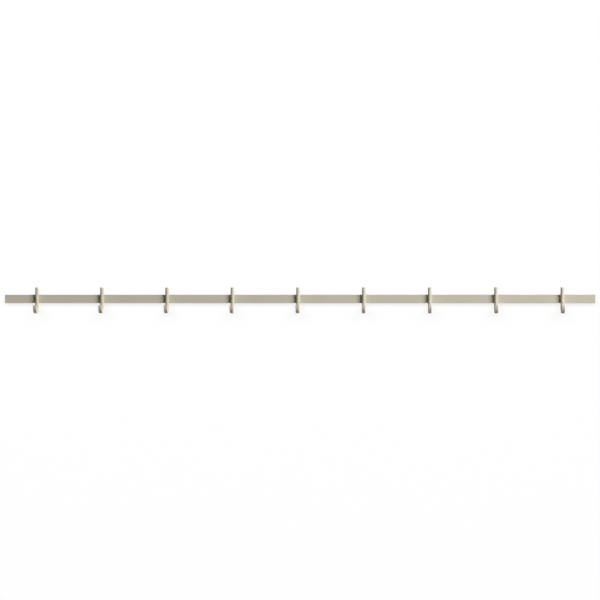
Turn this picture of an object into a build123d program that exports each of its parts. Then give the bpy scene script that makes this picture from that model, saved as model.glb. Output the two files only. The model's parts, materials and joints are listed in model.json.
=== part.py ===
"""Wall hook rail: a flat steel bar with J hooks of D-section bar welded across its front.

Short stand-offs behind the bar slip over pins in the wall and are clamped from below, so that
no fixing shows from the front.

Frame: +X along the bar, to the right as seen from the front; +Y into the wall; +Z up.
The origin lies on the wall, behind the middle of the bar.
"""

import os

from build123d import *

# Bar, cut from flat stock
hook_count = 9
hook_pitch = 155.0
end_margin = 77.5  # bar beyond the middle of each outer hook
bar_height = 20.0
bar_thickness = 5.0
bar_corner_radius = 1.2  # corners of the sawn ends, seen from the front
bar_edge_radius = 0.6  # broken edges, front and back

# Hooks, cold bent from D-section bar with the flat side outwards and the round side in the throat
hook_width = 8.0
hook_depth = 8.0  # from the flat side to the crown of the round side
hook_corner_radius = 1.0  # along both edges of the flat side
hook_end_radius = 0.6  # rounded rim of the sawn ends
prong_height = 17.0  # straight stem above the bar
hook_drop = 24.0  # underside of the hook below the bar
bend_radius = 7.0  # inside of both bends
bottom_straight = 6.0  # between the two bends
tip_straight = 4.3  # above the front bend

# Stand-offs, turned from round bar and welded behind the bar
standoff_length = 10.0  # air between the wall and the bar
standoff_diameter = 16.0
standoff_edge = 0.5  # chamfer of the rim at the wall
standoff_step = 3  # hook pitches from the middle stand-off to each outer one
wall_pin_diameter = 7.8
wall_pin_clearance = 0.1  # all round the pin

# Socket set screws that clamp the pins from below
screw_diameter = 4.0
screw_clearance = 0.05  # all round, in the tapped hole
screw_setback = 0.5  # below the outside of the stand-off, and short of the pin
screw_point_chamfer = 0.5
socket_width = 2.0  # across the flats of the hexagon
socket_depth = 1.6

# Derived sizes and places
bar_length = (hook_count - 1) * hook_pitch + 2 * end_margin
bar_top_z = bar_height / 2
bar_front_y = -(standoff_length + bar_thickness)
first_hook_x = -(hook_count - 1) / 2 * hook_pitch
hook_side = hook_depth - hook_width / 2  # straight sides of the section
outer_bend_radius = bend_radius + hook_depth
hook_front_y = bar_front_y - 2 * outer_bend_radius - bottom_straight
hook_top_z = bar_top_z + prong_height
hook_bottom_z = -bar_top_z - hook_drop
tip_top_z = hook_bottom_z + outer_bend_radius + tip_straight
bore_diameter = wall_pin_diameter + 2 * wall_pin_clearance
standoff_reach = standoff_step * hook_pitch
standoff_places = {"left": -standoff_reach, "centre": 0.0, "right": standoff_reach}
screw_y = -standoff_length / 2
screw_head_z = -(standoff_diameter / 2 - screw_setback)
screw_point_z = -(bore_diameter / 2 + screw_setback)

os.makedirs("parts", exist_ok=True)


def save(piece, name):
    """Label a finished piece and write it under its name."""
    piece.label = name
    export_step(piece, f"parts/{name}.step")


def hook_at(x):
    """One J hook: its flat side lies on the bar, turns under the bend and faces forward at the tip."""
    with BuildPart() as hook:
        with BuildLine(Plane.YZ.offset(x)) as flat_side:
            FilletPolyline(
                (bar_front_y, hook_top_z),
                (bar_front_y, hook_bottom_z),
                (hook_front_y, hook_bottom_z),
                (hook_front_y, tip_top_z),
                radius=outer_bend_radius,
            )
        top_end = Plane(origin=flat_side.line @ 0, x_dir=(1, 0, 0), z_dir=flat_side.line % 0)
        with BuildSketch(top_end) as section:
            Rectangle(hook_width, hook_side, align=(Align.CENTER, Align.MIN))
            with Locations((0, hook_side)):
                Circle(hook_width / 2)
            fillet(section.vertices().group_by(Axis.Y)[0], radius=hook_corner_radius)
        sweep()
        sawn_ends = hook.faces().filter_by(Axis.Z).sort_by(Axis.Z)[-2:]
        fillet(sawn_ends.edges(), radius=hook_end_radius)
    return hook.part


def standoff_at(x):
    """One stand-off: a ring open to the wall, with a tapped hole for the set screw in its underside."""
    with BuildPart() as standoff:
        with BuildSketch(Plane.XZ):
            with Locations((x, 0)):
                Circle(standoff_diameter / 2)
                Circle(bore_diameter / 2, mode=Mode.SUBTRACT)
        extrude(amount=standoff_length)
        wall_face = standoff.faces().sort_by(Axis.Y)[-1]
        chamfer(wall_face.outer_wire().edges(), length=standoff_edge)
        with BuildSketch(Plane.XY):
            with Locations((x, screw_y)):
                Circle(screw_diameter / 2)
        extrude(amount=-standoff_diameter, mode=Mode.SUBTRACT)
    return standoff.part


# Bar, with its ends rounded in outline and its front and back edges broken
with BuildPart() as rail_bar:
    with BuildSketch(Plane.XZ.offset(standoff_length)):
        RectangleRounded(bar_length, bar_height, bar_corner_radius)
    extrude(amount=bar_thickness)
    fillet(rail_bar.faces().filter_by(Axis.Y).edges(), radius=bar_edge_radius)
save(rail_bar.part, "rail_bar")

# Hooks, numbered from the left
for number in range(hook_count):
    save(hook_at(first_hook_x + number * hook_pitch), f"hook_{number + 1}")

# Stand-offs, one behind the middle hook and one towards each end
for side, x in standoff_places.items():
    save(standoff_at(x), f"standoff_{side}")

# Set screws, driven from below into the stand-offs
with BuildPart() as set_screws:
    with BuildSketch(Plane.XY.offset(screw_head_z)):
        with Locations([(x, screw_y) for x in standoff_places.values()]):
            Circle(screw_diameter / 2 - screw_clearance)
    extrude(amount=screw_point_z - screw_head_z)
    points = set_screws.faces().filter_by(Axis.Z).group_by(Axis.Z)[-1]
    chamfer(points.edges(), length=screw_point_chamfer)
    with BuildSketch(Plane.XY.offset(screw_head_z)):
        with Locations([(x, screw_y) for x in standoff_places.values()]):
            RegularPolygon(socket_width / 2, side_count=6, major_radius=False)
    extrude(amount=socket_depth, mode=Mode.SUBTRACT)
save(set_screws.part, "set_screws")
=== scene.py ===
"""Looks of the wall hook rail: greige powder-coated steel against a white wall, lit from the right.

Metres, in the rail's own frame: +X along the bar, +Y into the wall, +Z up, with the wall at Y = 0.
"""

import json
import math

import bpy
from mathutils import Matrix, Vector


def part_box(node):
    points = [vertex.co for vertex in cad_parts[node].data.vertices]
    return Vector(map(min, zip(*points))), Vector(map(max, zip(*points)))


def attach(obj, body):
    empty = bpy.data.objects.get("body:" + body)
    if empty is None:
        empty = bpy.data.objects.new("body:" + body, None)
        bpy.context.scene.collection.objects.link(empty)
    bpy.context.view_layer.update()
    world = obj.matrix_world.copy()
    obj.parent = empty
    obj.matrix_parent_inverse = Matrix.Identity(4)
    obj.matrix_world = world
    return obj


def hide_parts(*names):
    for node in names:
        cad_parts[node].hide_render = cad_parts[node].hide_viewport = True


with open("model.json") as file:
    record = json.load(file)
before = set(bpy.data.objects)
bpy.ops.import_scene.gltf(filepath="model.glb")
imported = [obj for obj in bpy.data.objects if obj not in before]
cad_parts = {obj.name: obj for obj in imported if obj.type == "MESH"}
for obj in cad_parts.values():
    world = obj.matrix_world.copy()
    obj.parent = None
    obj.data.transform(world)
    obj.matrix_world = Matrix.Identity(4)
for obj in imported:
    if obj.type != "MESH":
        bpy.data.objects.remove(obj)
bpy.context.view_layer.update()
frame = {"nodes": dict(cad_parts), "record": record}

MM = 0.001

# Camera: level with the bar, a little right of its middle and turned back towards it
IMAGE_PX = 600
CAMERA_PLACE = Vector((0.245, -4.824, -0.0027))
CAMERA_AIM = Vector((0.0039, 0.0, -0.0027))
FOCAL_PX = 2041.0
SENSOR_MM = 36.0

# Studio: white wall behind the rail, pale floor, a large soft lamp on the right for the rail, a long
# lamp in front for the wall, a wide one behind it for the light that the wall throws back, and weak
# light all round
WALL_SIZE = 7.0
FLOOR_DROP = 1.6
KEY_PLACE = Vector((5.12, -3.98, 2.75))
KEY_WIDTH = 4.2
KEY_HEIGHT = 2.1
KEY_WATTS = 724.0
KEY_WHITE = "#FBFDFF"
WASH_PLACE = Vector((0.0, -18.0, 7.2))
WASH_WIDTH = 36.0
WASH_HEIGHT = 12.0
WASH_WATTS = 6080.0
BOUNCE_PLACE = Vector((0.0, 0.15, 0.0))
BOUNCE_WIDTH = 7.0
BOUNCE_HEIGHT = 3.2
BOUNCE_WATTS = 70.0
AMBIENT_ABOVE = 0.17
AMBIENT_BELOW = 0.06
AMBIENT_WHITE = "#FFF6EA"
WALL_WHITE = "#F7F7F8"
WALL_GLOW_SHARE = 0.75  # of the wall's look that no shadow reaches
FLOOR_PALE = "#EFEDE8"
FLOOR_GLOW_SHARE = 1.0

# Finishes: sRGB colours, and the real sizes of their patterns in millimetres
COAT_THIN = "#BDB5A3"
COAT_THICK = "#C3BCAB"
COAT_DRIFT_MM = 60
ORANGE_PEEL_MM = 2
ORANGE_PEEL_DEPTH = 0.14 * MM
ORANGE_PEEL_STRENGTH = 0.6
COAT_ROUGHNESS = (0.78, 0.9)
ZINC_DULL = "#B4B8BC"
ZINC_BRIGHT = "#CACDD0"
ZINC_CLOUD_MM = 1.2
ZINC_ROUGHNESS = (0.25, 0.4)
PATTERN_DETAIL = 3.0  # finer layers in each pattern
WHITE = "#FFFFFF"

SIDES = ("left", "centre", "right")
HOOK_COUNT = 9
QUARTER_TURN = math.radians(90)

# Welds under the paint
HOOK_WELD_RADIUS = 1.4 * MM
HOOK_WELD_FACES = 20  # round a bead
HOOK_WELD_END_GAP = 1.0 * MM  # from a bead's end to the hook's side
WELD_END_TAPER = (0.45, 0.78, 0.94)  # share of its thickness that a bead has at its last rings
FOOT_WELD_RADIUS = 1.4 * MM
FOOT_WELD_FACES = 16
WELD_RIPPLE = 1.2 * MM  # length of one ripple along a bead
RINGS_PER_RIPPLE = 4
WELD_RIPPLE_DEPTH = 0.16 * MM
WELD_UNEVEN = 0.25 * MM

# Set screws: M4 thread and a hexagon socket
THREAD_PITCH = 0.7 * MM
THREAD_DEPTH = 0.43 * MM
THREAD_CREST = 0.09 * MM
THREAD_STEPS = 48  # faces in one turn
BLANK_FACES = 96
SOCKET_FACES = 6
SOCKET_WIDTH = 2.0 * MM
SOCKET_DEPTH = 1.6 * MM
POINT_CHAMFER = 0.5 * MM
SHARP_ANGLE = math.radians(30)  # edges sharper than this stay crisp
FINE = 0.0005 * MM  # places nearer than this are one place


def linear(hex_colour):
    """sRGB hex to the linear colour that shaders take."""
    channels = [int(hex_colour[i:i + 2], 16) / 255 for i in (1, 3, 5)]
    return [c / 12.92 if c <= 0.04045 else ((c + 0.055) / 1.055) ** 2.4 for c in channels] + [1.0]


def add_node(tree, kind, inputs=None, **settings):
    """Add one node: settings are its own properties, inputs are values or sockets that feed it."""
    node = tree.nodes.new(kind)
    for name, value in settings.items():
        setattr(node, name, value)
    for name, value in (inputs or {}).items():
        if isinstance(value, bpy.types.NodeSocket):
            tree.links.new(value, node.inputs[name])
        else:
            node.inputs[name].default_value = value
    return node


def new_material(name):
    """An empty node material and its tree."""
    material = bpy.data.materials.new(name)
    material.use_nodes = True
    material.node_tree.nodes.clear()
    return material, material.node_tree


def per_metre(size_mm):
    """Noise scale whose features are about this many millimetres across."""
    return 1.0 / (size_mm * MM)


def greige_powder_coat():
    """Polyester powder baked on steel: matt, even in colour, with a faint orange-peel ripple."""
    material, tree = new_material("powder_coated_steel_greige")
    place = add_node(tree, "ShaderNodeTexCoord").outputs["Object"]
    # Slow drift of the coat's thickness, which shifts its tone by two or three percent
    drift = add_node(
        tree, "ShaderNodeTexNoise",
        {"Vector": place, "Scale": per_metre(COAT_DRIFT_MM), "Detail": PATTERN_DETAIL},
    )
    tone = add_node(
        tree, "ShaderNodeMix",
        {"Factor": drift.outputs["Fac"], "A": linear(COAT_THIN), "B": linear(COAT_THICK)},
        data_type="RGBA",
    )
    # Orange peel is about 1 mm across; drawn at 2 mm, because 1 mm would not show
    peel = add_node(
        tree, "ShaderNodeTexNoise",
        {"Vector": place, "Scale": per_metre(ORANGE_PEEL_MM), "Detail": PATTERN_DETAIL},
    )
    ripple = add_node(
        tree, "ShaderNodeBump",
        {"Height": peel.outputs["Fac"], "Strength": ORANGE_PEEL_STRENGTH, "Distance": ORANGE_PEEL_DEPTH},
    )
    gloss = add_node(
        tree, "ShaderNodeMapRange",
        {"Value": peel.outputs["Fac"], "To Min": COAT_ROUGHNESS[0], "To Max": COAT_ROUGHNESS[1]},
    )
    shader = add_node(
        tree, "ShaderNodeBsdfPrincipled",
        {
            "Base Color": tone.outputs["Result"],
            "Roughness": gloss.outputs["Result"],
            "IOR": 1.5,
            "Normal": ripple.outputs["Normal"],
        },
    )
    add_node(tree, "ShaderNodeOutputMaterial", {"Surface": shader.outputs["BSDF"]})
    return material


def bright_zinc_plate():
    """Zinc plated on turned steel: bright bluish metal, a little cloudy."""
    material, tree = new_material("zinc_plated_steel_bright")
    place = add_node(tree, "ShaderNodeTexCoord").outputs["Object"]
    cloud = add_node(
        tree, "ShaderNodeTexNoise",
        {"Vector": place, "Scale": per_metre(ZINC_CLOUD_MM), "Detail": PATTERN_DETAIL},
    )
    tone = add_node(
        tree, "ShaderNodeMix",
        {"Factor": cloud.outputs["Fac"], "A": linear(ZINC_DULL), "B": linear(ZINC_BRIGHT)},
        data_type="RGBA",
    )
    gloss = add_node(
        tree, "ShaderNodeMapRange",
        {"Value": cloud.outputs["Fac"], "To Min": ZINC_ROUGHNESS[0], "To Max": ZINC_ROUGHNESS[1]},
    )
    shader = add_node(
        tree, "ShaderNodeBsdfPrincipled",
        {"Base Color": tone.outputs["Result"], "Metallic": 1.0, "Roughness": gloss.outputs["Result"]},
    )
    add_node(tree, "ShaderNodeOutputMaterial", {"Surface": shader.outputs["BSDF"]})
    return material


def seen_or_mirrored(tree):
    """1 where a thing is looked at straight, through glass or in a reflection, 0 where it gives light."""
    path = add_node(tree, "ShaderNodeLightPath")
    through = add_node(
        tree, "ShaderNodeMath",
        {0: path.outputs["Is Camera Ray"], 1: path.outputs["Is Transmission Ray"]},
        operation="MAXIMUM",
    )
    seen = add_node(
        tree, "ShaderNodeMath",
        {0: through.outputs[0], 1: path.outputs["Is Glossy Ray"]},
        operation="MAXIMUM",
    )
    return seen.outputs[0]


def white_to_the_camera(name, hex_colour, glow_share):
    """Pale paint that keeps a soft shadow, clear from behind so that the rail's back can be seen."""
    material, tree = new_material(name)
    side = add_node(tree, "ShaderNodeNewGeometry")
    paint = add_node(tree, "ShaderNodeBsdfDiffuse", {"Color": linear(hex_colour)})
    glow = add_node(tree, "ShaderNodeEmission", {"Color": linear(WHITE), "Strength": 1.0})
    share = add_node(
        tree, "ShaderNodeMath", {0: seen_or_mirrored(tree), 1: glow_share}, operation="MULTIPLY"
    )
    front = add_node(
        tree, "ShaderNodeMixShader",
        {"Fac": share.outputs[0], 1: paint.outputs["BSDF"], 2: glow.outputs["Emission"]},
    )
    clear = add_node(tree, "ShaderNodeBsdfTransparent")
    whole = add_node(
        tree, "ShaderNodeMixShader",
        {"Fac": side.outputs["Backfacing"], 1: front.outputs["Shader"], 2: clear.outputs["BSDF"]},
    )
    add_node(tree, "ShaderNodeOutputMaterial", {"Surface": whole.outputs["Shader"]})
    return material


def select_only(piece):
    """Select one object alone and make it the active one."""
    bpy.ops.object.select_all(action="DESELECT")
    piece.select_set(True)
    bpy.context.view_layer.objects.active = piece


def settle():
    """Put the place, turn and size of the selected object into its mesh."""
    bpy.ops.object.transform_apply(location=True, rotation=True, scale=True)


def fresh_mesh(add_primitive, **settings):
    """Add a primitive with nothing else selected, its place in its mesh."""
    bpy.ops.object.select_all(action="DESELECT")
    add_primitive(**settings)
    settle()
    return bpy.context.object


def anywhere(place):
    """Every place is wanted."""
    return True


def edit_where(piece, wanted, operator, by="vertices", **settings):
    """Run one edit operator on those vertices, or edges, alone whose places are wanted."""
    bpy.context.view_layer.objects.active = piece
    bpy.context.tool_settings.mesh_select_mode = (by == "vertices", by == "edges", False)
    bpy.ops.object.mode_set(mode="EDIT")
    bpy.ops.mesh.select_all(action="DESELECT")
    bpy.ops.object.mode_set(mode="OBJECT")
    mesh = piece.data
    if by == "vertices":
        for vertex in mesh.vertices:
            vertex.select = wanted(vertex.co)
    else:
        for edge in mesh.edges:
            edge.select = wanted(*(mesh.vertices[i].co for i in edge.vertices))
    bpy.ops.object.mode_set(mode="EDIT")
    operator(**settings)
    bpy.ops.object.mode_set(mode="OBJECT")


def apply_modifier(piece, kind, **settings):
    """Add one modifier with its settings and apply it."""
    modifier = piece.modifiers.new(kind.lower(), kind)
    for name, value in settings.items():
        setattr(modifier, name, value)
    bpy.context.view_layer.objects.active = piece
    bpy.ops.object.modifier_apply(modifier=modifier.name)


def ripple_bead(bead, along):
    """Pull in the valleys between the ripples of a weld bead, and make it a little uneven."""
    edit_where(
        bead, lambda place: along(place) % WELD_RIPPLE < WELD_RIPPLE / RINGS_PER_RIPPLE,
        bpy.ops.transform.shrink_fatten, value=-WELD_RIPPLE_DEPTH,
    )
    lumps = bpy.data.textures.new(bead.name + "_lumps", "CLOUDS")
    lumps.noise_scale = 2 * WELD_RIPPLE
    apply_modifier(
        bead, "DISPLACE", texture=lumps, texture_coords="LOCAL", strength=WELD_UNEVEN, mid_level=0.5
    )
    bpy.ops.object.shade_smooth()


def copy_along(piece, name, distance):
    """A copy with a mesh of its own, this far along the bar."""
    select_only(piece)
    bpy.ops.object.duplicate()
    bpy.ops.transform.translate(value=(distance, 0, 0))
    settle()
    bpy.context.object.name = name
    return bpy.context.object


def copy_to_sides(first, name, left_x):
    """The left piece with its copies at the centre and right stand-offs."""
    pieces = [first]
    for side in SIDES[1:]:
        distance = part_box(f"standoff_{side}")[0].x - left_x
        pieces.append(copy_along(first, f"{name}_{side}", distance))
    return pieces


def model_hook_welds():
    """Two short beads behind each hook, in the corners of its flat side with the bar's two edges."""
    bar_low, bar_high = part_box("rail_bar")
    hook_low, hook_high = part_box("hook_1")
    middle = (hook_low.x + hook_high.x) / 2
    length = hook_high.x - hook_low.x - 2 * HOOK_WELD_END_GAP
    rings = RINGS_PER_RIPPLE * round(length / WELD_RIPPLE)
    beads = []
    for z in (bar_low.z, bar_high.z):
        bead = fresh_mesh(
            bpy.ops.mesh.primitive_cylinder_add,
            vertices=HOOK_WELD_FACES, radius=HOOK_WELD_RADIUS, depth=length,
            location=(middle, bar_low.y, z), rotation=(0, QUARTER_TURN, 0),
        )
        # Rings along the bead for its ripples, then rounded ends
        edit_where(
            bead, lambda a, b: abs(a.x - b.x) > length / 2,
            bpy.ops.mesh.subdivide, by="edges", number_cuts=rings,
        )
        for ring, share in enumerate(WELD_END_TAPER):
            reach = length / 2 - ring * length / (rings + 1)
            edit_where(
                bead, lambda place: abs(abs(place.x - middle) - reach) < WELD_RIPPLE / 10,
                bpy.ops.transform.resize,
                value=(1, share, share), center_override=(middle, bar_low.y, z),
            )
        ripple_bead(bead, lambda place: place.x - middle)
        beads.append(bead)
    for bead in beads:
        bead.select_set(True)
    bpy.ops.object.join()
    first = bpy.context.object
    first.name = "hook_welds_1"
    welds = [first]
    for number in range(2, HOOK_COUNT + 1):
        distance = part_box(f"hook_{number}")[0].x - hook_low.x
        welds.append(copy_along(first, f"hook_welds_{number}", distance))
    return welds


def model_foot_welds():
    """A bead round the foot of each stand-off, on the back of the bar."""
    low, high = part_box("standoff_left")
    middle = (low + high) / 2
    radius = (high.x - low.x) / 2
    ripples = round(2 * math.pi * radius / WELD_RIPPLE)
    first = fresh_mesh(
        bpy.ops.mesh.primitive_torus_add,
        major_radius=radius, minor_radius=FOOT_WELD_RADIUS,
        major_segments=RINGS_PER_RIPPLE * ripples, minor_segments=FOOT_WELD_FACES,
        location=(middle.x, low.y, middle.z), rotation=(QUARTER_TURN, 0, 0),
    )
    first.name = "foot_weld_left"
    ripple_bead(first, lambda place: radius * math.atan2(place.z - middle.z, place.x - middle.x))
    return copy_to_sides(first, "foot_weld", low.x)


def wind_thread(crest, length):
    """A threaded rod round the Z axis, square at Z = 0 and a little longer than the screw."""
    middle_z = -THREAD_PITCH
    half_depth = crest - THREAD_DEPTH / 2
    turns = math.ceil(length / THREAD_PITCH) + 3

    # One flank, crest and flank of the thread, without the side towards the axis
    rod = fresh_mesh(
        bpy.ops.mesh.primitive_plane_add, size=1.0, location=(0.5, 0, 0), rotation=(QUARTER_TURN, 0, 0)
    )
    rod.scale = (THREAD_DEPTH, 1, THREAD_PITCH)
    rod.location = (crest - THREAD_DEPTH, 0, middle_z)
    settle()
    edit_where(
        rod, lambda place: place.x > half_depth, bpy.ops.transform.resize,
        value=(1, 1, THREAD_CREST / THREAD_PITCH), center_override=(crest, 0, middle_z),
    )
    edit_where(
        rod, lambda a, b: max(a.x, b.x) < half_depth, bpy.ops.mesh.delete, by="edges", type="EDGE_FACE"
    )

    # Wound up round the axis, with each turn joined to the next and both ends cut square
    apply_modifier(
        rod, "SCREW", axis="Z", angle=2 * math.pi, screw_offset=THREAD_PITCH, iterations=turns,
        steps=THREAD_STEPS, render_steps=THREAD_STEPS,
    )
    edit_where(rod, anywhere, bpy.ops.mesh.remove_doubles, threshold=FINE)
    for z, outwards in ((0, -1), (length + THREAD_PITCH, 1)):
        edit_where(
            rod, anywhere, bpy.ops.mesh.bisect, plane_co=(0, 0, z), plane_no=(0, 0, outwards),
            use_fill=True, clear_outer=True, threshold=FINE,
        )
    edit_where(rod, anywhere, bpy.ops.mesh.normals_make_consistent, inside=False)
    return rod


def model_set_screws():
    """Threaded set screws with hexagon sockets, driven into the stand-offs from below."""
    low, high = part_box("set_screws")
    left_low, left_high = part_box("standoff_left")
    crest = (high.y - low.y) / 2
    length = high.z - low.z
    first = wind_thread(crest, length)
    first.name = "set_screw_left"

    # The chamfered point and the socket are cut with tools of their own shape
    blank = fresh_mesh(
        bpy.ops.mesh.primitive_cylinder_add,
        vertices=BLANK_FACES, radius=crest + THREAD_CREST, depth=2 * length, location=(0, 0, 0),
    )
    edit_where(
        blank, lambda a, b: min(a.z, b.z) > 0, bpy.ops.mesh.bevel, by="edges",
        offset=POINT_CHAMFER + THREAD_CREST, segments=1,
    )
    key = fresh_mesh(
        bpy.ops.mesh.primitive_cylinder_add,
        vertices=SOCKET_FACES, radius=SOCKET_WIDTH / math.sqrt(3), depth=2 * SOCKET_DEPTH,
        location=(0, 0, 0),
    )
    apply_modifier(first, "BOOLEAN", operation="INTERSECT", object=blank)
    apply_modifier(first, "BOOLEAN", operation="DIFFERENCE", object=key)
    for tool in (blank, key):
        bpy.data.objects.remove(tool)

    select_only(first)
    bpy.ops.object.shade_smooth_by_angle(angle=SHARP_ANGLE)
    first.location = ((left_low.x + left_high.x) / 2, (low.y + high.y) / 2, low.z)
    settle()
    return copy_to_sides(first, "set_screw", left_low.x)


def stage_plane(name, place, turn, material):
    """One large flat surface of the studio."""
    bpy.ops.mesh.primitive_plane_add(size=WALL_SIZE, location=place, rotation=turn)
    plane = bpy.context.object
    plane.name = name
    plane.data.materials.append(material)
    return plane


def soft_lamp(name, place, width, height, watts, hex_colour=WHITE):
    """A rectangular softbox that faces the rail and is never seen itself."""
    lamp = bpy.data.lights.new(name, "AREA")
    lamp.shape = "RECTANGLE"
    lamp.size = width
    lamp.size_y = height
    lamp.energy = watts
    lamp.color = linear(hex_colour)[:3]
    softbox = bpy.data.objects.new(name, lamp)
    bpy.context.scene.collection.objects.link(softbox)
    softbox.location = place
    softbox.rotation_euler = (-place).to_track_quat("-Z", "Y").to_euler()
    softbox.visible_camera = False
    return softbox


def shine_only_on(softbox, things):
    """Keep a lamp's light to these objects alone."""
    reached = bpy.data.collections.new(softbox.name + "_reaches")
    for thing in things:
        reached.objects.link(thing)
    softbox.light_linking.receiver_collection = reached


def build_studio(rail):
    """White wall at Y = 0, pale floor, lamps for the rail's pieces, and weak light all round."""
    bpy.ops.object.select_all(action="DESELECT")
    wall_paint = white_to_the_camera("matt_white_wall_paint", WALL_WHITE, WALL_GLOW_SHARE)
    wall = stage_plane("wall", (0, 0, WALL_SIZE / 2 - FLOOR_DROP), (QUARTER_TURN, 0, 0), wall_paint)
    floor_paint = white_to_the_camera("pale_floor_paint", FLOOR_PALE, FLOOR_GLOW_SHARE)
    floor = stage_plane("floor", (0, -WALL_SIZE / 2, -FLOOR_DROP), (0, 0, 0), floor_paint)
    # A lamp shines through the wall in place of the light that it throws back, which would be grainy
    wall.visible_shadow = False
    wall.visible_diffuse = False
    floor.visible_diffuse = False

    # The wall and the rail have a lamp each, so that the hooks throw no shadows on the wall
    key = soft_lamp("key_softbox", KEY_PLACE, KEY_WIDTH, KEY_HEIGHT, KEY_WATTS, KEY_WHITE)
    wash = soft_lamp("wall_wash", WASH_PLACE, WASH_WIDTH, WASH_HEIGHT, WASH_WATTS)
    bounce = soft_lamp("wall_bounce", BOUNCE_PLACE, BOUNCE_WIDTH, BOUNCE_HEIGHT, BOUNCE_WATTS)
    shine_only_on(key, rail)
    shine_only_on(wash, [wall])
    shine_only_on(bounce, rail)

    world = bpy.data.worlds.new("studio_light")
    world.use_nodes = True
    tree = world.node_tree
    tree.nodes.clear()
    heading = add_node(tree, "ShaderNodeTexCoord").outputs["Generated"]
    height = add_node(tree, "ShaderNodeSeparateXYZ", {"Vector": heading}).outputs["Z"]
    ambient = add_node(
        tree, "ShaderNodeMapRange",
        {"Value": height, "From Min": -1.0, "To Min": AMBIENT_BELOW, "To Max": AMBIENT_ABOVE},
    )
    light = add_node(
        tree, "ShaderNodeBackground",
        {"Color": linear(AMBIENT_WHITE), "Strength": ambient.outputs["Result"]},
    )
    white = add_node(tree, "ShaderNodeBackground", {"Color": linear(WHITE), "Strength": 1.0})
    sky = add_node(
        tree, "ShaderNodeMixShader",
        {"Fac": seen_or_mirrored(tree), 1: light.outputs["Background"], 2: white.outputs["Background"]},
    )
    add_node(tree, "ShaderNodeOutputWorld", {"Surface": sky.outputs["Shader"]})
    bpy.context.scene.world = world


def build_camera():
    """The photograph's view: a long lens, level with the bar."""
    camera = bpy.data.cameras.new("camera")
    camera.sensor_width = SENSOR_MM
    camera.lens = SENSOR_MM * FOCAL_PX / IMAGE_PX
    viewer = bpy.data.objects.new("camera", camera)
    bpy.context.scene.collection.objects.link(viewer)
    viewer.location = CAMERA_PLACE
    viewer.rotation_euler = (CAMERA_AIM - CAMERA_PLACE).to_track_quat("-Z", "Y").to_euler()
    bpy.context.scene.camera = viewer


def dress_solids(finishes):
    """Give each solid the finish of its slot."""
    for subpart in frame["record"]["subparts"]:
        solid = frame["nodes"][subpart["node"]]
        for slot in solid.material_slots:
            slot.material = finishes[subpart["material_slot"]]


def dress_piece(piece, slot, finishes):
    """Fix a new piece to the rail and give it the finish of a slot."""
    piece.data.materials.clear()
    piece.data.materials.append(finishes[slot])
    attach(piece, "root")


bpy.context.scene.view_settings.view_transform = "Standard"
finishes = {"powder_coat": greige_powder_coat(), "zinc_plate": bright_zinc_plate()}
dress_solids(finishes)
welds = model_hook_welds() + model_foot_welds()
for weld in welds:
    dress_piece(weld, "powder_coat", finishes)
screws = model_set_screws()
for screw in screws:
    dress_piece(screw, "zinc_plate", finishes)
    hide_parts("set_screws")
build_studio(list(frame["nodes"].values()) + welds + screws)
build_camera()
